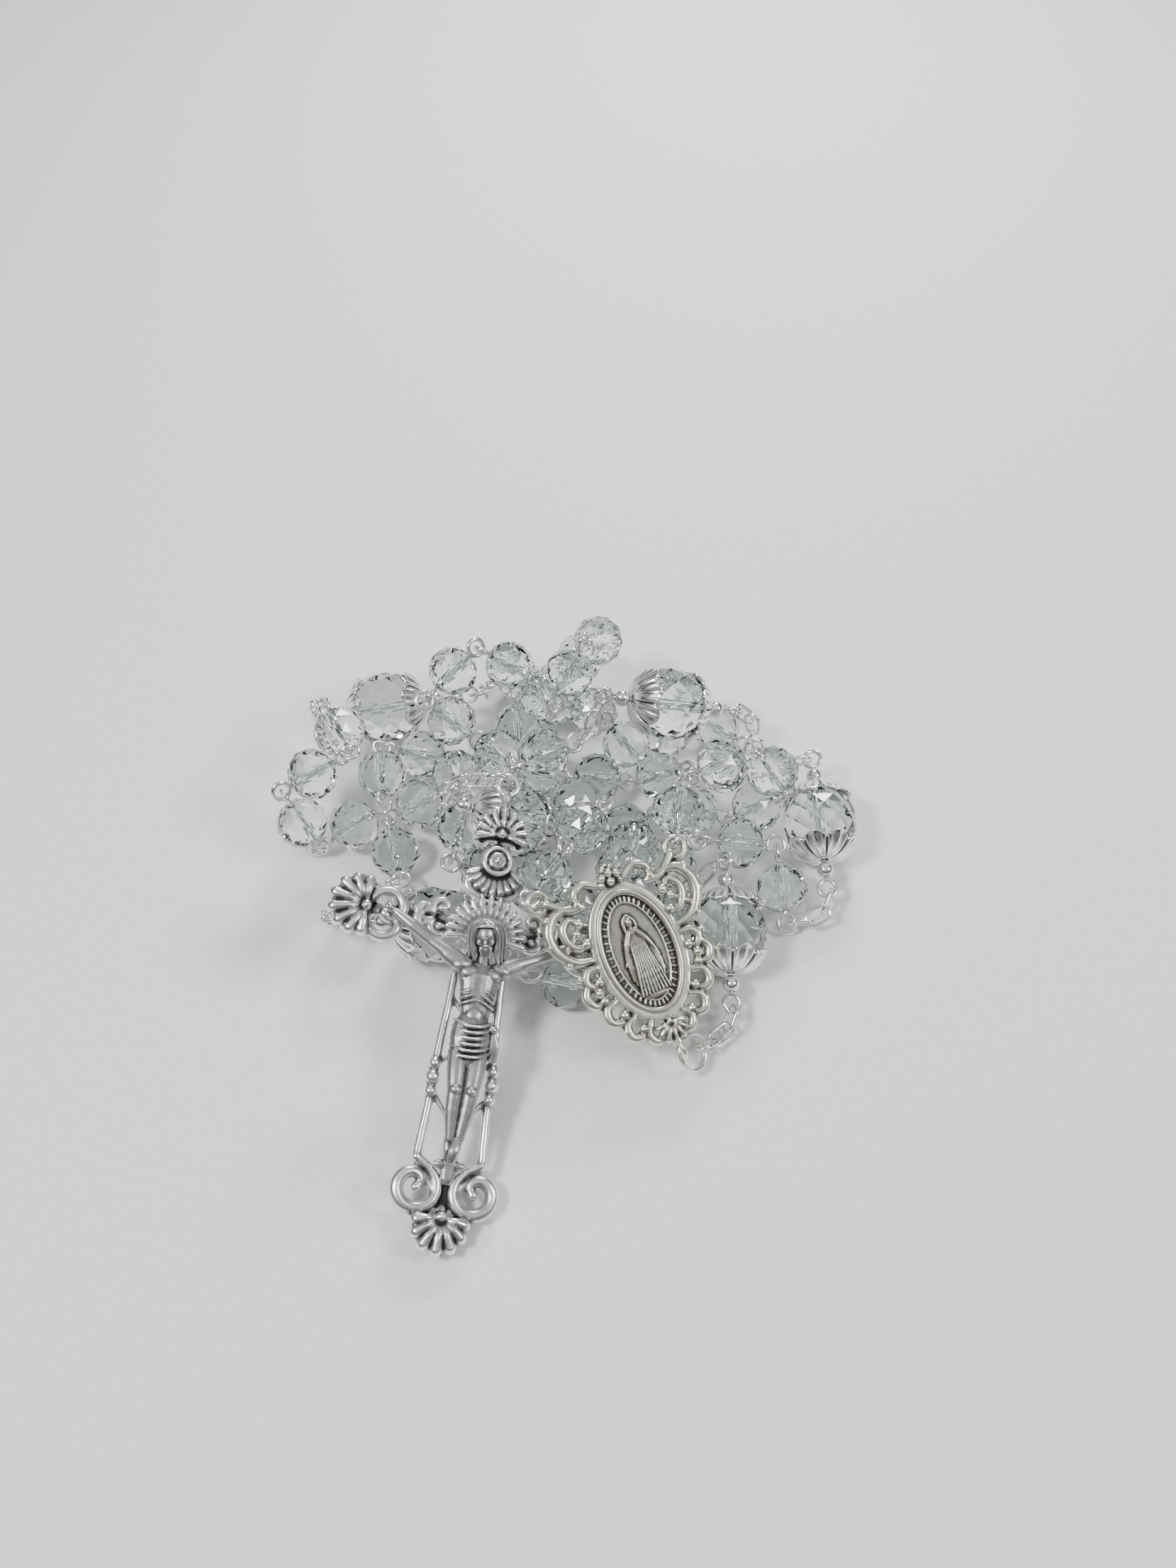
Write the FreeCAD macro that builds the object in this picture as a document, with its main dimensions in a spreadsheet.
"""Crystal rosary, lying in a heap: five decades of faceted beads, a centre medal and a crucifix.

Frame: +Z up, the rosary rests on Z = 0, the crucifix points to -Y, and the origin is under the
middle of the heap. All sizes are millimetres.

The beads are strung as on the real rosary. Each bead sits on an eye pin, a wire with a turned loop
at each end, and the loops hook through one another. Three oval links stand on each side of every
large bead. The places of the beads come from a few hand-chosen lists, which `settle` then relaxes
until every pin has its true length, nothing overlaps, and everything lies on the table.
"""
import FreeCAD
import Part
import math
import os

from FreeCAD import Matrix, Placement, Rotation, Vector

os.makedirs("parts", exist_ok=True)
doc = FreeCAD.newDocument("rosary")

# ---------------------------------------------------------------- driving sizes

SIZES = {
    "small_bead_width": 7.0,
    "small_bead_length": 6.3,
    "large_bead_width": 10.0,
    "large_bead_length": 10.6,
    "bead_bore": 0.9,
    "facet_count": 10,
    "wire_thickness": 0.6,
    "shank_thickness": 0.55,
    "pin_loop_radius": 1.2,
    "small_pin_span": 9.6,
    "large_pin_span": 19.6,
    "cap_thickness": 0.4,
    "cap_clearance": 0.12,
    "spacer_ball_width": 2.3,
    "spacer_ball_reach": 7.1,
    "link_end_radius": 1.05,
    "link_straight": 1.4,
    "link_thickness": 0.5,
    "medal_ring_radius": 2.3,
    "medal_ring_thickness": 0.8,
    "cross_ring_radius": 1.7,
    "cross_ring_thickness": 0.7,
    "eye_radius": 1.3,
    "eye_thickness": 0.8,
    "plaque_width": 10.2,
    "plaque_height": 16.4,
    "plaque_thickness": 1.0,
    "cross_top": 20.0,
    "cross_bottom": 39.0,
    "arm_reach": 20.0,
}

sheet = doc.addObject("Spreadsheet::Sheet", "sizes")
for row, (alias, value) in enumerate(SIZES.items(), start=1):
    sheet.set("A%d" % row, alias)
    sheet.set("B%d" % row, str(value))
    sheet.setAlias("B%d" % row, alias)
doc.recompute()


def size(alias):
    """The number in the sheet's cell of that name."""
    return float(getattr(sheet, alias))


LOOP = size("pin_loop_radius")
LINK = size("link_end_radius")
WIRE = size("wire_thickness") / 2

# ---------------------------------------------------------------- vectors

UP = Vector(0, 0, 1)


def unit(vector):
    return vector / vector.Length


def square_to(vector, axis):
    """The part of a vector that is square to a unit axis, at length 1."""
    rest = vector - axis * vector.dot(axis)
    if rest.Length < 0.05:
        rest = UP.cross(axis) if abs(axis.z) < 0.9 else Vector(1, 0, 0)
        rest = rest - axis * rest.dot(axis)
    return unit(rest)


def frame(origin, z_axis, x_axis):
    """A placement whose Z runs along z_axis and whose X lies nearest to x_axis."""
    z = unit(z_axis)
    x = square_to(x_axis, z)
    y = z.cross(x)
    return Placement(Matrix(x.x, y.x, z.x, origin.x,
                            x.y, y.y, z.y, origin.y,
                            x.z, y.z, z.z, origin.z,
                            0, 0, 0, 1))


# ---------------------------------------------------------------- what is on the string

# Radii of the balls that stand for each piece's bulk while the heap is settled.
SMALL_BULK = 3.5
LARGE_BULK = 5.05
CAP_BULK = 4.85
SPACER_BULK = 1.3
LOOP_BULK = 1.45
LINK_BULK = 1.15
LINK_END_BULK = 1.1
RING_MARGIN = 0.45

# The sharpest turn in degrees that the next piece may take after each kind of piece.
PIN_BEND = 85
RING_BEND = 30
END_LINK_BEND = 27
MIDDLE_LINK_BEND = 37
ZIGZAG_BEND = 102

CHAIN_LINKS = 3

class Piece:
    """One strung piece, measured along the string from the joint before it.

    near is the centre of its first loop, far the centre of its last, which is also the next joint.
    balls are pairs of a share of the span and a radius."""

    def __init__(self, kind, near, span, balls, bend=PIN_BEND):
        self.kind = kind
        self.bend = bend
        self.near = near
        self.far = near + span
        self.middle = near + span / 2
        self.balls = [(near + span * share, radius) for share, radius in balls]


def small_bead(name=None):
    """A Hail Mary bead on its pin."""
    piece = Piece("small", LOOP, size("small_pin_span"),
                  [(0.5, SMALL_BULK), (0.02, LOOP_BULK), (0.98, LOOP_BULK)])
    piece.name = name
    return piece


def large_bead(name):
    """An Our Father bead on its pin, with caps and spacer balls."""
    piece = Piece("large", LOOP, size("large_pin_span"),
                  [(0.5, LARGE_BULK), (0.39, CAP_BULK), (0.61, CAP_BULK), (0.14, SPACER_BULK),
                   (0.86, SPACER_BULK), (0.01, LOOP_BULK), (0.99, LOOP_BULK)])
    piece.name = name
    return piece


def links(group, first_loop=LOOP):
    """A short chain. Each link's first end stands off by the larger of the two loops it joins."""
    chain = []
    loop = first_loop
    for index in range(CHAIN_LINKS):
        piece = Piece("link", max(loop, LINK), size("link_straight"),
                      [(0.0, LINK_END_BULK), (0.5, LINK_BULK), (1.0, LINK_END_BULK)],
                      bend=MIDDLE_LINK_BEND if index == 1 else END_LINK_BEND)
        piece.name = group
        chain.append(piece)
        loop = LINK
    return chain


def ring(name, radius, loop_before):
    """A round jump ring."""
    piece = Piece("ring", max(radius, loop_before), 0.0, [(0.5, radius + RING_MARGIN)], RING_BEND)
    piece.name = name
    return piece


def our_father(number):
    """Three links, a large bead and three links."""
    chains = "our_father_%d_chains" % number
    return links(chains) + [large_bead("our_father_%d" % number)] + links(chains)


# ---------------------------------------------------------------- medal and crucifix poses

MEDAL_CENTRE = Vector(6.4, -8.2, 11.0)
MEDAL_LEAN = 23
MEDAL_TILT = 30
MEDAL_ROLL = 12
medal_pose = Placement(MEDAL_CENTRE, Rotation(Vector(1, 0, 0), MEDAL_TILT)
                       * Rotation(UP, MEDAL_LEAN) * Rotation(Vector(0, 1, 0), MEDAL_ROLL))
medal_right = medal_pose.Rotation.multVec(Vector(1, 0, 0))

MEDAL_EYE_X = 9.6
MEDAL_EYE_Y = 10.4
MEDAL_FOOT = 13.2

CROSS_EYE = Vector(-10.4, 12.9, 17.4)
CROSS_FOOT = Vector(-18.3, -44.6, 1.0)
CROSS_ROLL = 16
cross_up = unit(CROSS_EYE - CROSS_FOOT)
level_right = unit(cross_up.cross(UP))
level_pose = frame(CROSS_EYE - cross_up * size("cross_top"), level_right.cross(cross_up), level_right)
cross_pose = level_pose.multiply(Placement(Vector(), Rotation(Vector(0, 1, 0), CROSS_ROLL)))


def on_medal(x, y, z=0.0):
    return medal_pose.multVec(Vector(x, y, z))


def on_cross(x, y, z=0.0):
    return cross_pose.multVec(Vector(x, y, z))


# ---------------------------------------------------------------- the route of the string

MEDAL_RIGHT_EYE = on_medal(MEDAL_EYE_X, MEDAL_EYE_Y)
MEDAL_LEFT_EYE = on_medal(-MEDAL_EYE_X, MEDAL_EYE_Y)
MEDAL_FOOT_EYE = on_medal(0, -MEDAL_FOOT)
LAST_HOOK = on_medal(-MEDAL_EYE_X - LOOP * 0.6, MEDAL_EYE_Y + LOOP * 0.8)
CROSS_HOOK = on_cross(-0.94 * size("cross_ring_radius"), size("cross_top"),
                      0.34 * size("cross_ring_radius"))

# Bead centres of each decade, and the bends of the stretches between them, in string order.
DECADE_5 = [(12.5, 12.5, 12), (17.5, 19, 10), (25, 20.5, 6), (25, 12.5, 4), (17.5, 11, 4),
            (9.5, 11.5, 3.5), (11, 3.5, 3.5), (14.5, -3.5, 3.5), (17, 4.5, 5), (23.5, 3, 4)]
TO_DECADE_4 = [(28, 5, 2.5), (31, 6, 2.5), (33.5, 8, 3), (32.5, 18, 5.5), (31, 27, 7.5),
               (27, 26, 7), (22, 25, 5.5)]
DECADE_4 = [(16.5, 25, 5), (9, 21.5, 3.5), (1, 20.5, 3.5), (-5.5, 25.5, 3.5), (-11.5, 31.5, 3.5),
            (-4, 34.5, 3.5), (3.5, 37, 3.5), (2.5, 29.5, 3.5), (9.5, 34.5, 3.5), (15.5, 33, 3.5)]
TO_DECADE_3 = [(19.5, 33, 4), (21.5, 31, 6), (19.5, 28, 8), (9.7, 28, 8.5), (0, 28, 10), (-4, 26, 10)]
DECADE_3 = [(-9, 23.5, 10), (-16, 21, 9.5), (-14.5, 29, 9.5), (-20, 36.5, 9.5), (-12.5, 41, 10),
            (-9, 33.5, 11), (-2, 31.5, 10), (3, 37.5, 10), (-3.5, 41, 8), (-8, 37.5, 4)]
TO_DECADE_2 = [(-12, 36.5, 5), (-17, 36, 5), (-20, 35.5, 5.5), (-28.5, 31.5, 5.5), (-37, 27.5, 4),
               (-39.5, 30, 4), (-37, 34, 5.5), (-34, 34.5, 7)]
DECADE_2 = [(-36, 27, 9), (-35.5, 19, 5), (-36, 10, 4), (-29.5, 13, 4), (-30, 21.5, 4),
            (-22.5, 18.5, 4), (-18, 25, 4), (-15.5, 17.5, 3.5), (-23, 11, 4), (-25.5, 4, 4)]
TO_DECADE_1 = [(-26.5, -2, 2.5), (-24, -6, 2.5), (-21.5, -8.5, 3), (-12, -6.5, 5.1), (-3, -4.5, 4.5),
               (-3.5, -9, 3), (-7, -12.5, 3)]
DECADE_1 = [(-2.5, -13, 3.5), (0, -5.5, 3.5), (3.5, 2, 3.5), (-4.5, 3.5, 3.5), (-12, 4, 3.5),
            (-15.5, 11, 3.5), (-8, 14.5, 3.5), (1, 17.5, 9.5), (4, 11, 13), (-4, 4.5, 12)]
FROM_MEDAL = [(13.5, -21, 1.5), (19, -21, 1.5), (23.5, -18, 1.5), (21.8, -8, 5), (19.5, 2, 7.5),
              (16, 4, 8.5), (14, 1, 9)]
PENDANT = [(11, -1, 9), (4.5, 2.5, 9), (8.5, 9, 8.5)]
TO_CROSS = [(7.5, 13, 8), (4, 13, 8), (1.5, 10, 8.5), (-8.5, 8, 9.5), (-18, 7.5, 11),
            (-20, 10, 13.5), (-17, 12.5, 16)]


def smooth_route(points, pieces):
    """Joints spaced along a smooth curve through the points, in proportion to the pieces."""
    ends = [points[0]] + points + [points[-1]]
    steps = 24
    curve = []
    for a, b, c, d in zip(ends, ends[1:], ends[2:], ends[3:]):
        for step in range(steps):
            u = step / steps
            curve.append((b * 2 + (c - a) * u + (a * 2 - b * 5 + c * 4 - d) * u ** 2
                          + (b * 3 - a - c * 3 + d) * u ** 3) * 0.5)
    curve.append(points[-1])
    travelled = [0.0]
    for a, b in zip(curve, curve[1:]):
        travelled.append(travelled[-1] + (b - a).Length)
    stretch = travelled[-1] / sum(piece.far for piece in pieces)
    joints = []
    mark = 0.0
    index = 0
    for piece in pieces:
        mark += piece.far * stretch
        while index < len(curve) - 2 and travelled[index + 1] < mark:
            index += 1
        share = (mark - travelled[index]) / max(travelled[index + 1] - travelled[index], 1e-9)
        joints.append(curve[index] + (curve[index + 1] - curve[index]) * min(share, 1.0))
    return joints


class Strand:
    """A run of pieces with the joints between them."""

    def __init__(self, start):
        self.joints = [start]
        self.pieces = []

    def add_beads(self, centres, names, side=1, end=None):
        """Small beads near the given centres, in a zigzag where these are closer than a pin is long.

        side is 1 if the first joint lies to the left and -1 if it lies to the right."""
        points = [Vector(*centre) for centre in centres]
        points.append(points[-1] * 2 - points[-2])
        for index, name in enumerate(names):
            ahead = points[index + 1] - points[index]
            slack = max(small_bead().far ** 2 - ahead.Length ** 2, 0.0)
            aside = unit(UP.cross(ahead)) * (math.sqrt(slack) / 2 * (-1) ** index * side)
            self.joints.append(points[index] + ahead * 0.5 + aside)
            self.pieces.append(small_bead(name))
        if end is not None:
            self.joints[-1] = end

    def add_route(self, bends, pieces, end=None):
        """Pieces along a smooth route that starts at the last joint."""
        points = [self.joints[-1]] + [Vector(*bend) for bend in bends]
        if end is not None:
            points.append(end)
        self.joints += smooth_route(points, pieces)
        self.pieces += pieces


def decade(number):
    return ["decade_%d" % number] * 10


loop = Strand(MEDAL_RIGHT_EYE)
loop.add_beads(DECADE_5, decade(5))
loop.add_route(TO_DECADE_4, our_father(4))
loop.add_beads(DECADE_4, decade(4))
loop.add_route(TO_DECADE_3, our_father(3))
loop.add_beads(DECADE_3, decade(3))
loop.add_route(TO_DECADE_2, our_father(2))
loop.add_beads(DECADE_2, decade(2))
loop.add_route(TO_DECADE_1, our_father(1))
loop.add_beads(DECADE_1, decade(1), end=LAST_HOOK)

pendant = Strand(MEDAL_FOOT_EYE)
pendant.add_route(FROM_MEDAL,
                  [ring("medal_jump_ring", size("medal_ring_radius"), size("eye_radius"))]
                  + links("medal_chain", size("medal_ring_radius"))
                  + [large_bead("our_father_5")] + links("pendant_upper_chain"))
pendant.add_beads(PENDANT, ["pendant_bead_1", "pendant_bead_2", "pendant_bead_3"])
pendant.add_route(TO_CROSS,
                  links("pendant_lower_chain") + [large_bead("our_father_6")] + links("crucifix_chain")
                  + [ring("crucifix_jump_ring", size("cross_ring_radius"), LINK)],
                  end=CROSS_HOOK)

# ---------------------------------------------------------------- settling the heap


class Ball:
    """A sphere carried by two joints: it sits the given share of the way from one to the other."""

    def __init__(self, first, share, radius, order, hooked):
        self.first = first
        self.share = share
        self.radius = radius
        self.order = order
        self.hooked = hooked


class Plate:
    """A flat thing lying on the heap. Beads under it are pushed below its underside."""

    def __init__(self, pose, low, high, underside):
        self.back = pose.inverse()
        self.normal = pose.Rotation.multVec(UP)
        self.low = low
        self.high = high
        self.underside = underside

    def push(self, point, radius):
        local = self.back.multVec(point)
        if not (self.low[0] < local.x < self.high[0] and self.low[1] < local.y < self.high[1]):
            return None
        depth = local.z + radius + self.underside
        if depth <= 0 or local.z > PLATE_REACH:
            return None
        return self.normal * -depth


PLATES = [
    Plate(medal_pose, (-12.0, -12.0), (12.0, 11.5), 1.1),
    Plate(cross_pose, (-4.5, -40.0), (4.5, 19.0), 1.1),
    Plate(cross_pose, (-24.0, -7.0), (24.0, 7.0), 1.2),
]
PLATE_REACH = 6.0
GAP = 0.12
FLOOR = 0.02

# Each round pulls every joint towards its first place for a while. Then only the pull across is
# left, with a slow drift down, and at last the heap comes to rest by itself.
ROUNDS = 1400
PULL = 0.02
PULL_UNTIL = 0.35
DRIFT = 0.025
DRIFT_UNTIL = 0.5
ENDS_AFTER = 0.7
PAIRS_EVERY = 15
SMALL_OVERLAP = 0.03
SMALL_STRETCH = 0.004

# Balls wider and thinner than these are a bead's body and a loop, and pairs are looked for this far.
BIG_BALL = 3.0
THIN_BALL = 2.0
PAIR_MARGIN = 1.5


class Heap:
    """All joints of all strands, with the rules they must keep."""

    def __init__(self, strands):
        self.points = []
        self.home = []
        self.free = []
        self.rods = []
        self.balls = []
        self.stays = []
        for strand in strands:
            self.add(strand)

    def add(self, strand):
        base = len(self.points)
        self.points += [Vector(joint) for joint in strand.joints]
        self.home += [Vector(joint) for joint in strand.joints]
        self.free += [0.0] + [1.0] * (len(strand.joints) - 2) + [0.0]
        last = len(strand.pieces) - 1
        for index, piece in enumerate(strand.pieces):
            order = len(self.rods)
            self.rods.append((base + index, piece.far))
            for distance, radius in piece.balls:
                hooked = index in (0, last) and radius < BIG_BALL
                self.balls.append(Ball(base + index, distance / piece.far, radius, order, hooked))
            if index < last:
                follower = strand.pieces[index + 1]
                bend = ZIGZAG_BEND if piece.kind == follower.kind == "small" else piece.bend
                least = math.sqrt(piece.far ** 2 + follower.far ** 2
                                  + 2 * piece.far * follower.far * math.cos(math.radians(bend)))
                self.stays.append((base + index, base + index + 2, least))
        strand.base = base

    def place(self, ball):
        start = self.points[ball.first]
        return start + (self.points[ball.first + 1] - start) * ball.share

    def near_pairs(self):
        """Pairs of balls that could touch. Neighbours on the string may overlap at their loops."""
        spots = [self.place(ball) for ball in self.balls]
        pairs = []
        for i, one in enumerate(self.balls):
            for j in range(i + 1, len(self.balls)):
                two = self.balls[j]
                reach = one.radius + two.radius + PAIR_MARGIN
                offset = spots[i] - spots[j]
                if abs(offset.x) > reach or abs(offset.y) > reach or abs(offset.z) > reach:
                    continue
                apart = abs(one.order - two.order)
                both_big = one.radius > BIG_BALL and two.radius > BIG_BALL
                both_thin = one.radius < THIN_BALL and two.radius < THIN_BALL
                if apart == 0 or (apart == 1 and not both_big) or (apart <= CHAIN_LINKS and both_thin):
                    continue
                pairs.append((one, two))
        return pairs

    def shift(self, ball, move):
        """Moves a ball by moving the joints that carry it."""
        a = self.free[ball.first] * (1 - ball.share)
        b = self.free[ball.first + 1] * ball.share
        weight = a * (1 - ball.share) + b * ball.share
        if weight > 1e-6:
            self.points[ball.first] += move * (a / weight)
            self.points[ball.first + 1] += move * (b / weight)

    def part_balls(self, pairs):
        worst = 0.0
        for one, two in pairs:
            offset = self.place(one) - self.place(two)
            overlap = one.radius + two.radius + GAP - offset.Length
            if overlap > 0:
                worst = max(worst, overlap)
                move = unit(offset) * (overlap / 2)
                self.shift(one, move)
                self.shift(two, move * -1)
        return worst

    def keep_clear(self):
        """Keeps every ball above the table and below the plates."""
        for ball in self.balls:
            spot = self.place(ball)
            if spot.z < ball.radius + FLOOR:
                self.shift(ball, UP * (ball.radius + FLOOR - spot.z))
            if ball.hooked:
                continue
            for plate in PLATES:
                move = plate.push(self.place(ball), ball.radius)
                if move is not None:
                    self.shift(ball, move)

    def pull_pair(self, first, second, length, shorten):
        gap = self.points[second] - self.points[first]
        error = gap.Length - length
        if error > 0 and not shorten:
            return 0.0
        weight = self.free[first] + self.free[second]
        if weight > 0:
            move = unit(gap) * (error / weight)
            self.points[first] += move * self.free[first]
            self.points[second] -= move * self.free[second]
        return abs(error)

    def keep_lengths(self):
        worst = 0.0
        for _ in range(2):
            for first, length in self.rods:
                worst = max(worst, self.pull_pair(first, first + 1, length, True))
            for first, second, least in self.stays:
                self.pull_pair(first, second, least, False)
        return worst

    def settle(self):
        for step in range(ROUNDS):
            if step % PAIRS_EVERY == 0:
                pairs = self.near_pairs()
            if step < ROUNDS * DRIFT_UNTIL:
                for index, point in enumerate(self.points):
                    if self.free[index]:
                        way_home = self.home[index] - point
                        if step > ROUNDS * PULL_UNTIL:
                            way_home.z = -DRIFT / PULL
                        self.points[index] += way_home * PULL
            overlap = self.part_balls(pairs)
            self.keep_clear()
            stretch = self.keep_lengths()
            if step > ROUNDS * ENDS_AFTER and overlap < SMALL_OVERLAP and stretch < SMALL_STRETCH:
                break
        print("heap settled after %d rounds: overlap %.3f, length error %.4f" % (step, overlap, stretch))


heap = Heap([loop, pendant])
heap.settle()
for strand in (loop, pendant):
    strand.joints = heap.points[strand.base:strand.base + len(strand.pieces) + 1]

# ---------------------------------------------------------------- which way every loop faces


# Below this sine of the turn, a pin's loop or a ring keeps square to the loop before it.
STRAIGHT = {"small": 0.05, "large": 0.05, "ring": 0.3}


def orient(strand, start_normal):
    """Gives each piece its direction and the normals of its first and last loops.

    Two hooked loops stand square to each other, so one wire passes through the other's middle.
    On an eye pin the two loops turn freely. A link is flat, so both its ends share a normal, and a
    ring lies in the plane of the two things it joins."""
    count = len(strand.pieces)
    ways = [unit(strand.joints[i + 1] - strand.joints[i]) for i in range(count)]
    normal = start_normal
    for index, piece in enumerate(strand.pieces):
        way = ways[index]
        piece.start = Vector(strand.joints[index])
        piece.way = way
        piece.near_normal = square_to(way.cross(normal), way)
        piece.far_normal = piece.near_normal
        following = ways[index + 1] if index + 1 < count else strand.end_way
        side = way.cross(following)
        if piece.kind != "link" and side.Length > STRAIGHT[piece.kind]:
            piece.far_normal = square_to(side, way)
        if piece.kind == "ring":
            piece.near_normal = piece.far_normal
        normal = piece.far_normal


medal_face = medal_pose.Rotation.multVec(UP)
loop.end_way = unit(MEDAL_LEFT_EYE - LAST_HOOK)
pendant.end_way = unit(CROSS_EYE - CROSS_HOOK)
orient(loop, medal_face)
loop.pieces[-1].far_normal = square_to(medal_face.cross(loop.end_way), loop.pieces[-1].way)
orient(pendant, medal_right)

# ---------------------------------------------------------------- pattern pieces


def bind(thing, **cells):
    """Ties an object's properties to the sheet."""
    for prop, formula in cells.items():
        thing.setExpression(prop, formula)
    return thing


def cell(formula):
    """Writes size names in a formula as references to the sheet."""
    words = []
    word = ""
    for letter in formula + " ":
        if letter.isalnum() or letter == "_":
            word += letter
            continue
        words.append("sizes." + word if word in SIZES else word)
        words.append(letter)
        word = ""
    return "".join(words).strip()


def primitive(kind, name, place=None, **formulas):
    """A Part primitive whose sizes are formulas over the sheet."""
    thing = doc.addObject("Part::" + kind, name)
    bind(thing, **{prop: cell(formula) for prop, formula in formulas.items()})
    if place is not None:
        thing.Placement = place
    return thing


def move_expression(thing, **formulas):
    """Ties an object's position to the sheet."""
    for axis, formula in formulas.items():
        thing.setExpression("Placement.Base." + axis, cell(formula))
    return thing


def joined(name, things):
    whole = doc.addObject("Part::MultiFuse", name)
    whole.Shapes = things
    return whole


def cut(name, base, tool):
    rest = doc.addObject("Part::Cut", name)
    rest.Base = base
    rest.Tool = tool
    return rest


def faceted_bead(name, width, length, rows):
    """A bead cut in flat facets: a ruled loft through rings of corners, with a bore along Z.

    rows are (share of half the length, share of half the width), from the middle to one end."""
    levels = [(-along, across) for along, across in reversed(rows)]
    levels += [(along, across) for along, across in rows if along > 0]
    rings = []
    for index, (along, across) in enumerate(levels):
        corner_ring = primitive("RegularPolygon", "%s_ring_%d" % (name, index),
                                Polygon="facet_count",
                                Circumradius="%s / 2 * %s" % (width, across))
        move_expression(corner_ring, z="%s / 2 * %s" % (length, along))
        rings.append(corner_ring)
    body = doc.addObject("Part::Loft", name + "_crystal")
    body.Sections = rings
    body.Solid = True
    body.Ruled = True
    bore = primitive("Cylinder", name + "_bore", Radius="bead_bore / 2", Height="%s * 2" % length)
    move_expression(bore, z="0 - %s" % length)
    return cut(name, body, bore)


SMALL_ROWS = [(0.0, 1.0), (0.36, 0.955), (0.68, 0.79), (0.9, 0.53), (1.0, 0.3)]
LARGE_ROWS = [(0.0, 1.0), (0.3, 0.975), (0.58, 0.86), (0.8, 0.66), (0.94, 0.42), (1.0, 0.26)]
small_pattern = faceted_bead("small_pattern", "small_bead_width", "small_bead_length", SMALL_ROWS)
large_pattern = faceted_bead("large_pattern", "large_bead_width", "large_bead_length", LARGE_ROWS)

ball_solid = primitive("Sphere", "ball_solid", Radius="spacer_ball_width / 2")
ball_bore = primitive("Cylinder", "ball_bore", Radius="bead_bore / 2", Height="spacer_ball_width * 2")
move_expression(ball_bore, z="0 - spacer_ball_width")
ball_pattern = cut("ball_pattern", ball_solid, ball_bore)

TURN_TO_X = Placement(Vector(), Rotation(Vector(0, 1, 0), 90))
pin_loop = primitive("Torus", "pin_loop", place=TURN_TO_X,
                     Radius1="pin_loop_radius", Radius2="wire_thickness / 2")


def pin_shank(name, span):
    """The straight part of an eye pin, a hair thinner than its loops, so that it enters them cleanly."""
    shank = primitive("Cylinder", name, Radius="shank_thickness / 2",
                      Height="%s - pin_loop_radius * 2" % span)
    return move_expression(shank, z="pin_loop_radius")


small_shank = pin_shank("small_shank", "small_pin_span")
large_shank = pin_shank("large_shank", "large_pin_span")

# A link is drawn flat in XY with its long side along Y, then turned so that Z runs along the
# string and X is its normal.
STRING_TURN = Placement(Vector(), Rotation(Vector(1, 1, 1), 120))


def link_half(name, turn, shift):
    half = primitive("Torus", name, place=Placement(Vector(), Rotation(UP, turn)),
                     Radius1="link_end_radius", Radius2="link_thickness / 2")
    half.Angle3 = 180
    return move_expression(half, y=shift)


def link_side(name, side):
    bar = primitive("Cylinder", name, place=Placement(Vector(), Rotation(Vector(1, 0, 0), -90)),
                    Radius="link_thickness / 2", Height="link_straight")
    return move_expression(bar, x="%d * link_end_radius" % side, y="0 - link_straight / 2")


link_pattern = joined("link_pattern", [
    link_half("link_far_end", 0, "link_straight / 2"),
    link_half("link_near_end", 180, "0 - link_straight / 2"),
    link_side("link_left_side", -1),
    link_side("link_right_side", 1),
])

cross_ring = primitive("Torus", "cross_ring", place=TURN_TO_X,
                       Radius1="cross_ring_radius", Radius2="cross_ring_thickness / 2")
doc.recompute()


def petal_cap():
    """A petalled cup over the end of a large bead, opening towards -Z, with a bore."""
    half = size("large_bead_length") / 2
    radius = size("large_bead_width") / 2
    gap = size("cap_clearance")
    wall = size("cap_thickness")
    outline = [(along * half, across * radius) for along, across in LARGE_ROWS[2:]]
    inner = [Vector(across + gap * 0.7, 0, along + gap) for along, across in outline]
    inner.append(Vector(size("bead_bore") / 2, 0, half + gap))
    outer = [point + Vector(wall * 0.75, 0, wall * 0.75) for point in inner[:-1]]
    outer.append(Vector(size("bead_bore") / 2, 0, half + gap + wall))
    profile = Part.Face(Part.makePolygon(inner + outer[::-1] + [inner[0]]))
    cup = profile.revolve(Vector(), UP, 360)
    petals = 8
    reach = 2.45
    flower = Part.makeCylinder(reach, radius * 2)
    for index in range(petals):
        turn = 2 * math.pi * index / petals
        spot = Vector(reach * math.cos(turn), reach * math.sin(turn), 0)
        flower = flower.fuse(Part.makeCylinder(0.97, radius * 2, spot))
    return cup.common(flower)


CAP = petal_cap()

# ---------------------------------------------------------------- drawing with wire and balls


# A ball on the end of a bar stands a little proud of it, so that the two surfaces cross cleanly.
PROUD = 1.05


def capsule(start, end, start_radius, end_radius=None):
    """A tapering round bar with round ends."""
    end_radius = start_radius if end_radius is None else end_radius
    start = Vector(*start)
    end = Vector(*end)
    way = end - start
    if abs(start_radius - end_radius) < 0.01:
        bar = Part.makeCylinder(start_radius, way.Length, start, way)
    else:
        bar = Part.makeCone(start_radius, end_radius, way.Length, start, way)
    return [bar, Part.makeSphere(start_radius * PROUD, start), Part.makeSphere(end_radius * PROUD, end)]


def ball(x, y, z, radius):
    return Part.makeSphere(radius, Vector(x, y, z))


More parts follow.
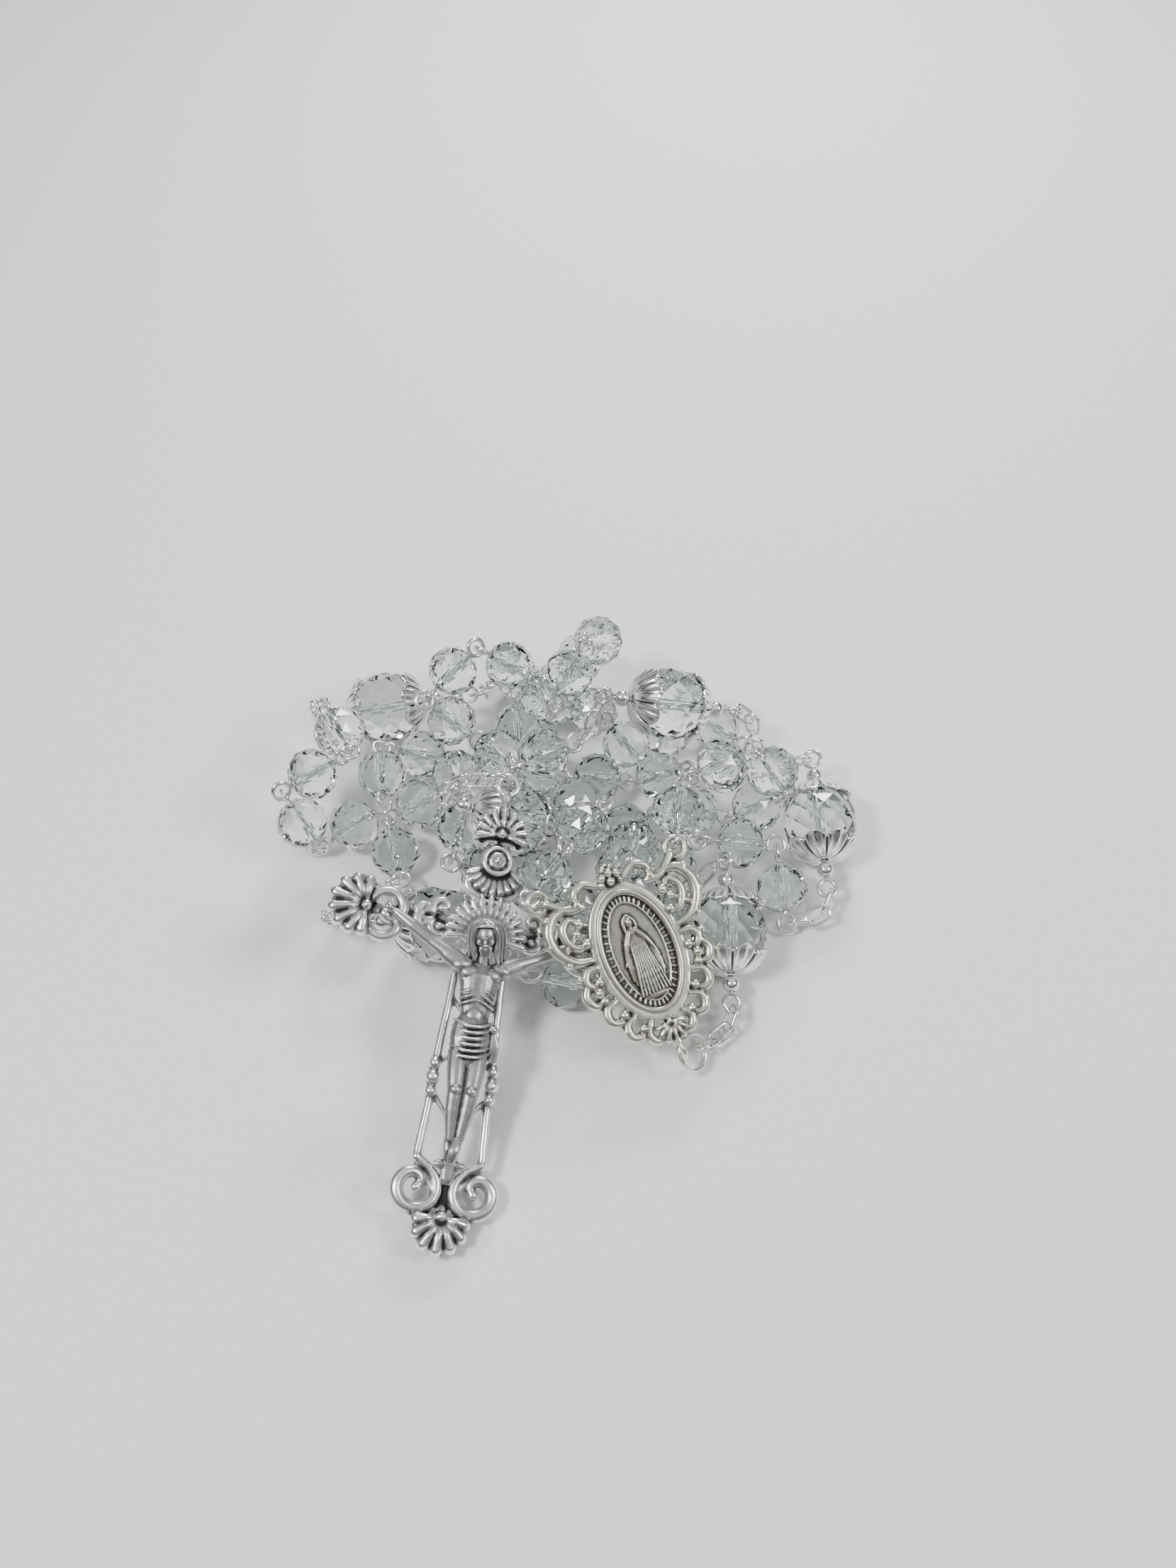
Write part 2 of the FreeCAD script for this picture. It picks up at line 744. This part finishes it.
def scroll(x, y, heading, bends, thick, knob=0.0, level=0.0):
    """Round wire that starts at (x, y) with a heading and follows bends of (radius, turn in degrees).

    A positive turn goes left. The wire ends in a ball, and each bend is an arc of a torus."""
    solids = []
    for radius, turn in bends:
        side = 1 if turn > 0 else -1
        across = math.radians(heading + 90 * side)
        centre_x = x + radius * math.cos(across)
        centre_y = y + radius * math.sin(across)
        first = heading - 90 * side
        sweep_from = first if turn > 0 else first + turn
        arc = Part.makeTorus(radius, thick, Vector(), UP, -180, 180, abs(turn))
        arc.Placement = Placement(Vector(centre_x, centre_y, level), Rotation(UP, sweep_from))
        solids.append(arc)
        heading += turn
        last = math.radians(heading - 90 * side)
        x = centre_x + radius * math.cos(last)
        y = centre_y + radius * math.sin(last)
    if knob:
        solids.append(ball(x, y, level, knob))
    return solids


def both_sides(x, y, heading, bends, thick, knob=0.0, level=0.0):
    """A scroll and its mirror image in the line X = 0."""
    mirrored = [(radius, -turn) for radius, turn in bends]
    return (scroll(x, y, heading, bends, thick, knob, level)
            + scroll(-x, y, 180 - heading, mirrored, thick, knob, level))


def fan(x, y, heading, spread, petals, reach, thick):
    """Shell petals that widen outwards from a hub."""
    solids = [ball(x, y, 0, thick * 1.1)]
    for index in range(petals):
        share = index / (petals - 1)
        turn = math.radians(heading - spread / 2 + spread * share)
        length = reach * (0.86 + 0.14 * math.sin(math.pi * share))
        tip = (x + length * math.cos(turn), y + length * math.sin(turn), 0)
        solids += capsule((x, y, 0), tip, thick * 0.45, thick * 0.8)
    return solids


def melt(solids):
    """One solid from many."""
    return solids[0].multiFuse(solids[1:])


def eye(x, y, facing):
    torus = Part.makeTorus(size("eye_radius"), size("eye_thickness") / 2, Vector(x, y, 0), facing)
    return [torus]


# ---------------------------------------------------------------- the sub-parts

nodes = []


def sub_part(name, shape, place=None):
    """One separate piece, or one group of like pieces, under its own name."""
    piece = doc.addObject("Part::Feature", name)
    piece.Label = name
    piece.Shape = shape
    if place is not None:
        piece.Placement = place
    nodes.append(piece)


def placed(shape, place):
    return shape.transformed(place.toMatrix(), True)


def pin_shape(piece, shank):
    """A wire with a loop at each end, each loop turned its own way."""
    base = frame(piece.start + piece.way * piece.near, piece.way, piece.near_normal)
    far = frame(piece.start + piece.way * piece.far, piece.way, piece.far_normal)
    loops = [placed(pin_loop.Shape, base), placed(pin_loop.Shape, far)]
    return placed(shank.Shape, base).multiFuse(loops)


def centre_frame(piece):
    return frame(piece.start + piece.way * piece.middle, piece.way, piece.near_normal)


def string_up(strand):
    """Makes the beads, pins, caps, links and rings of a strand."""
    small_beads = {}
    small_pins = {}
    chains = {}
    for piece in strand.pieces:
        middle = centre_frame(piece)
        if piece.kind == "small":
            small_beads.setdefault(piece.name, []).append(placed(small_pattern.Shape, middle))
            small_pins.setdefault(piece.name, []).append(pin_shape(piece, small_shank))
        elif piece.kind == "large":
            add_large_bead(piece, middle)
        elif piece.kind == "link":
            turned = placed(link_pattern.Shape, STRING_TURN)
            chains.setdefault(piece.name, []).append(placed(turned, middle))
        elif piece.name == "medal_jump_ring":
            add_double_ring(piece, middle)
        else:
            sub_part(piece.name, placed(cross_ring.Shape, middle))
    for name, beads in small_beads.items():
        pins = small_pins[name]
        if len(beads) == 1:
            sub_part(name, beads[0])
            sub_part(name + "_pin", pins[0])
        else:
            sub_part(name + "_beads", Part.makeCompound(beads))
            sub_part(name + "_pins", Part.makeCompound(pins))
    for name, chain in chains.items():
        sub_part(name, Part.makeCompound(chain))


def add_large_bead(piece, middle):
    reach = size("spacer_ball_reach")
    trim = []
    for turn in (0, 180):
        flip = Placement(Vector(), Rotation(Vector(1, 0, 0), turn))
        trim.append(placed(CAP, flip))
        trim.append(placed(placed(ball_pattern.Shape, Placement(Vector(0, 0, reach), Rotation())), flip))
    sub_part(piece.name + "_bead", large_pattern.Shape, middle)
    sub_part(piece.name + "_caps", Part.makeCompound(trim), middle)
    sub_part(piece.name + "_pin", pin_shape(piece, large_shank))


def add_double_ring(piece, middle):
    """A ring of two turns of wire that lie side by side and touch."""
    thick = size("medal_ring_thickness") / 4
    turns = []
    for side in (-1, 1):
        turns.append(Part.makeTorus(size("medal_ring_radius"), thick, Vector(side * thick * 0.8, 0, 0),
                                    Vector(1, 0, 0)))
    sub_part(piece.name, placed(turns[0].fuse(turns[1]), middle))


string_up(loop)
string_up(pendant)


def ellipse_disc(half_width, half_height, low, high):
    if half_width > half_height:
        outline = Part.Ellipse(Vector(), half_width, half_height)
    else:
        outline = Part.Ellipse(Vector(0, half_height, 0), Vector(half_width, 0, 0), Vector())
    face = Part.Face(Part.Wire([outline.toShape()]))
    disc = face.extrude(Vector(0, 0, high - low))
    disc.translate(Vector(0, 0, low))
    return disc


def ellipse_band(half_width, half_height, wide, low, high):
    outer = ellipse_disc(half_width, half_height, low, high)
    return outer.cut(ellipse_disc(half_width - wide, half_height - wide, low - 1, high + 1))


def add_plaque():
    """An oval plaque with a raised rim and a ring of plain strokes."""
    wide = size("plaque_width") / 2
    high = size("plaque_height") / 2
    thick = size("plaque_thickness")
    solids = [ellipse_disc(wide, high, -thick / 2, thick / 2),
              ellipse_band(wide, high, 0.7, 0, thick / 2 + 0.45),
              ellipse_band(wide - 1.5, high - 1.5, 0.25, 0, thick / 2 + 0.25)]
    strokes = 40
    for index in range(strokes):
        turn = 2 * math.pi * index / strokes
        x = (wide - 1.12) * math.cos(turn)
        y = (high - 1.12) * math.sin(turn)
        stroke = Part.makeBox(0.6, 0.22, 0.3, Vector(-0.3, -0.11, 0))
        outward = math.degrees(math.atan2(y / high ** 2, x / wide ** 2))
        stroke.Placement = Placement(Vector(x, y, thick / 2 - 0.1), Rotation(UP, outward))
        solids.append(stroke)
    sub_part("medal_plaque", melt(solids), medal_pose)


def add_medal_figure():
    """A small robed figure in relief, with hands held out and low."""
    floor = size("plaque_thickness") / 2
    relief = []
    for fold in (-2, -1, 0, 1, 2):
        relief += capsule((fold * 0.22, 2.2, 0.2), (fold * 0.62, -4.9, 0.25), 0.42, 0.5)
    for side in (-1, 1):
        relief += capsule((side * 0.55, 2.4, 0.3), (side * 1.9, -0.6, 0.2), 0.5, 0.32)
        relief += capsule((side * 1.0, 1.6, 0.1), (side * 1.7, -3.4, 0.1), 0.42, 0.3)
    relief.append(ball(0, 4.2, 0.35, 0.85))
    relief.append(ball(0, 4.0, 0.05, 1.15))
    figure = melt(relief)
    above = Part.makeBox(12, 20, 4, Vector(-6, -10, 0))
    figure = figure.common(above)
    sub_part("medal_figure", figure, medal_pose.multiply(Placement(Vector(0, 0, floor), Rotation())))


def add_medal_frame():
    """The filigree round the plaque: bezel, scrolls, a berry cluster, a leaf spray and three eyes."""
    wide = size("plaque_width") / 2 + 0.08
    high = size("plaque_height") / 2 + 0.08
    solids = [ellipse_band(wide + 0.75, high + 0.75, 0.75, -0.7, 0.75)]
    solids += both_sides(5.0, 6.0, 20, [(3.0, 75), (1.9, 130), (1.0, 100)], 0.5, knob=0.75)
    solids += both_sides(5.6, 3.2, -10, [(3.4, 70), (2.3, 95)], 0.42, knob=0.7)
    solids += both_sides(5.9, 1.6, -50, [(2.6, 75), (1.2, 120), (0.7, 110)], 0.42, knob=0.62)
    solids += both_sides(6.2, -2.2, -25, [(1.5, -120), (0.9, -100)], 0.42, knob=0.6)
    solids += both_sides(4.4, -6.2, -60, [(1.5, 150), (0.8, 120)], 0.42, knob=0.62)
    solids += both_sides(3.6, -8.6, -75, [(1.4, -130), (0.8, -130)], 0.42, knob=0.6)
    solids += both_sides(0.4, -9.6, -120, [(2.0, 110), (1.1, 100)], 0.4, knob=0.6)
    for side in (-1, 1):
        solids += eye(side * MEDAL_EYE_X, MEDAL_EYE_Y, UP)
        solids += capsule((side * (MEDAL_EYE_X - 1.3), MEDAL_EYE_Y - 1.1, 0),
                          (side * 6.6, 7.6, 0), 0.5)
        solids += [ball(side * 7.3, 1.5, 0.1, 0.72), ball(side * 5.3, -6.6, 0.1, 0.72)]
    for index in range(5):
        turn = math.radians(-20 + 55 * index)
        solids.append(ball(1.25 * math.cos(turn), 10.3 + 1.05 * math.sin(turn), 0.15, 0.72))
    solids.append(ball(0, 10.4, 0.6, 0.75))
    solids.append(ball(0, 9.3, 0.0, 0.8))
    solids += fan(0, -9.2, -90, 120, 5, 2.6, 0.55)
    solids += capsule((0, -9.2, 0), (0, 1.1 - MEDAL_FOOT, 0), 0.6, 0.5)
    solids += eye(0, -MEDAL_FOOT, Vector(1, 0, 0))
    sub_part("medal_frame", melt(solids), medal_pose)


add_plaque()
add_medal_figure()
add_medal_frame()


def add_cross_frame():
    """The openwork cross: eye, neck, shaft, arms, side rods with balls, and scrolls."""
    top = size("cross_top")
    foot = -size("cross_bottom")
    solids = eye(0, top, UP)
    solids += capsule((0, top - 1.5, 0), (0, top - 6.4, 0), 0.56, 0.64)
    solids += capsule((0, top - 6.2, -0.1), (0, 9.0, -0.1), 0.7)
    solids += capsule((0, 9.0, -0.1), (0, foot + 3.2, -0.1), 0.65)
    solids += capsule((-15.5, 0.6, -0.1), (15.5, 0.6, -0.1), 0.6)
    solids += both_sides(0.4, 12.2, 50, [(1.7, -110), (1.4, -90), (0.7, -120)], 0.5, knob=0.68)
    solids += both_sides(0.3, 5.4, -50, [(1.7, 120), (1.15, 110), (0.55, 150)], 0.5, knob=0.55)
    solids += both_sides(4.8, 4.6, 200, [(2.2, 50), (1.3, 100)], 0.45, knob=0.6)
    solids += both_sides(5.2, 0.8, 60, [(1.5, 110), (0.9, 100)], 0.45, knob=0.6)
    solids += both_sides(5.2, 0.8, 20, [(2.4, 60), (1.4, 120)], 0.45, knob=0.6)
    solids += both_sides(15.4, 1.0, 110, [(2.2, 60), (1.9, 120), (0.9, 70)], 0.6, knob=0.7)
    solids += both_sides(15.4, 0.2, -110, [(2.2, -60), (1.9, -120), (0.9, -70)], 0.6, knob=0.7)
    for side in (-1, 1):
        solids += capsule((side * 3.1, -7.0, 0), (side * 3.9, -28.6, 0), 0.45)
        solids += capsule((side * 3.1, -7.0, 0), (0, -10.5, -0.1), 0.42)
        solids += capsule((side * 3.12, -7.7, 0), (side * 1.0, 0.6, -0.1), 0.36)
        for step in (-1, 0, 1):
            solids.append(ball(side * 3.6, -18.6 + step * 1.35, 0.1, 0.72))
        solids += capsule((side * 3.7, -20.4, 0), (0, -23.6, -0.1), 0.42)
        solids += capsule((side * 3.9, -28.6, 0), (side * 2.2, -29.8, 0), 0.5)
    foot_bends = [(4.6, 30), (1.1, -150), (3.4, -75), (2.2, -110)]
    solids += both_sides(0.9, -34.4, 75, foot_bends, 0.62, knob=0.8)
    sub_part("crucifix_frame", melt(solids), cross_pose)


def on_front(level):
    """The crucifix's own frame, moved forward so that a piece lies on its face."""
    return Placement(cross_pose.multVec(Vector(0, 0, level)), cross_pose.Rotation)


def add_cross_shells():
    """The fluted shells that end the two arms and the foot, and the small one below the eye."""
    reach = size("arm_reach")
    foot = -size("cross_bottom")
    shells = [melt(fan(reach - 4.4, 0.6, 0, 150, 7, 4.4, 0.75)),
              melt(fan(4.4 - reach, 0.6, 180, 150, 7, 4.4, 0.75)),
              melt(fan(0, foot + 4.2, -90, 150, 7, 4.2, 0.8)),
              melt(fan(0, 13.2, 90, 150, 8, 3.4, 0.52))]
    sub_part("crucifix_shells", Part.makeCompound(shells), on_front(1.5))


def add_rosette():
    """A round boss with two rings, over a fluted skirt."""
    solids = [Part.makeCylinder(2.0, 0.7, Vector(0, 0, 0)),
              Part.makeTorus(1.6, 0.36, Vector(0, 0, 0.7), UP),
              Part.makeTorus(0.75, 0.26, Vector(0, 0, 0.7), UP)]
    flutes = 7
    for index in range(flutes):
        turn = math.radians(-90 - 52 + 104 * index / (flutes - 1))
        start = (1.3 * math.cos(turn), 1.3 * math.sin(turn), 0.35)
        end = (4.05 * math.cos(turn), 4.05 * math.sin(turn), 0.35)
        solids += capsule(start, end, 0.22, 0.3)
    place = Placement(cross_pose.multVec(Vector(0, 9.2, 0.78)), cross_pose.Rotation)
    sub_part("crucifix_rosette", melt(solids), place)


def add_halo():
    """Rays that fan out behind the head, on a narrow band."""
    rays = 12
    solids = [Part.makeTorus(2.7, 0.3, Vector(), UP, -180, 180, 180)]
    for index in range(rays):
        turn = math.radians(4 + 172 * index / (rays - 1))
        start = (2.7 * math.cos(turn), 2.7 * math.sin(turn), 0)
        end = (5.0 * math.cos(turn), 5.0 * math.sin(turn), 0)
        solids += capsule(start, end, 0.22, 0.36)
    place = Placement(cross_pose.multVec(Vector(0, -0.6, 1.12)), cross_pose.Rotation)
    sub_part("crucifix_halo", melt(solids), place)


def add_corpus():
    """The figure on the cross, flat-backed, with raised arms and a cloth round the hips."""
    solids = [ball(0, -0.9, 2.9, 1.7), ball(0, -2.1, 3.0, 0.95)]
    solids += capsule((0, -2.4, 2.5), (0, -4.3, 1.9), 0.78, 0.85)
    solids += capsule((-1.2, -5.7, 1.7), (1.2, -5.7, 1.7), 1.3)
    solids += capsule((0, -6.4, 1.75), (0, -11.2, 1.5), 1.75, 1.25)
    solids += capsule((0, -11.9, 1.6), (0, -16.2, 1.75), 1.75, 1.5)
    solids.append(ball(1.75, -12.7, 1.9, 0.75))
    for side in (-1, 1):
        solids += capsule((side * 2.3, -5.0, 1.8), (side * 7.2, -2.3, 1.6), 0.95, 0.68)
        solids += capsule((side * 7.2, -2.3, 1.6), (side * 12.2, 0.8, 1.35), 0.62, 0.46)
        solids += capsule((side * 12.2, 0.8, 1.35), (side * 13.3, 1.3, 1.3), 0.56, 0.44)
        solids += capsule((side * 0.8, -14.8, 1.8), (side * 0.62, -20.4, 2.4), 1.0, 0.76)
        solids += capsule((side * 0.62, -20.4, 2.4), (side * 0.34, -26.2, 1.6), 0.7, 0.48)
    solids += capsule((0, -26.2, 1.6), (0, -28.4, 1.3), 0.72, 0.55)
    figure = melt(solids)
    in_front = Part.makeBox(40, 50, 8, Vector(-20, -40, 0.64))
    sub_part("corpus", figure.common(in_front), cross_pose)


for build in (add_cross_frame, add_cross_shells, add_rosette, add_halo, add_corpus):
    build()

# ---------------------------------------------------------------- checks and files


def wrong(thing):
    states = [state for state in thing.State if state in ("Invalid", "Error")]
    shape = getattr(thing, "Shape", None)
    return bool(states) or (shape is not None and (shape.isNull() or not shape.isValid()))


whole = nodes[0].Shape.BoundBox
for piece in nodes[1:]:
    whole.add(piece.Shape.BoundBox)
to_origin = Vector(-whole.Center.x, -whole.Center.y, -whole.ZMin)
for piece in nodes:
    piece.Placement.Base += to_origin
doc.recompute()
failed = [thing.Name for thing in doc.Objects if wrong(thing)]
if failed:
    raise RuntimeError("failed objects: %s" % ", ".join(failed))
for piece in nodes:
    piece.Shape.exportStep("parts/%s.step" % piece.Label)
print("%d sub-parts written" % len(nodes))
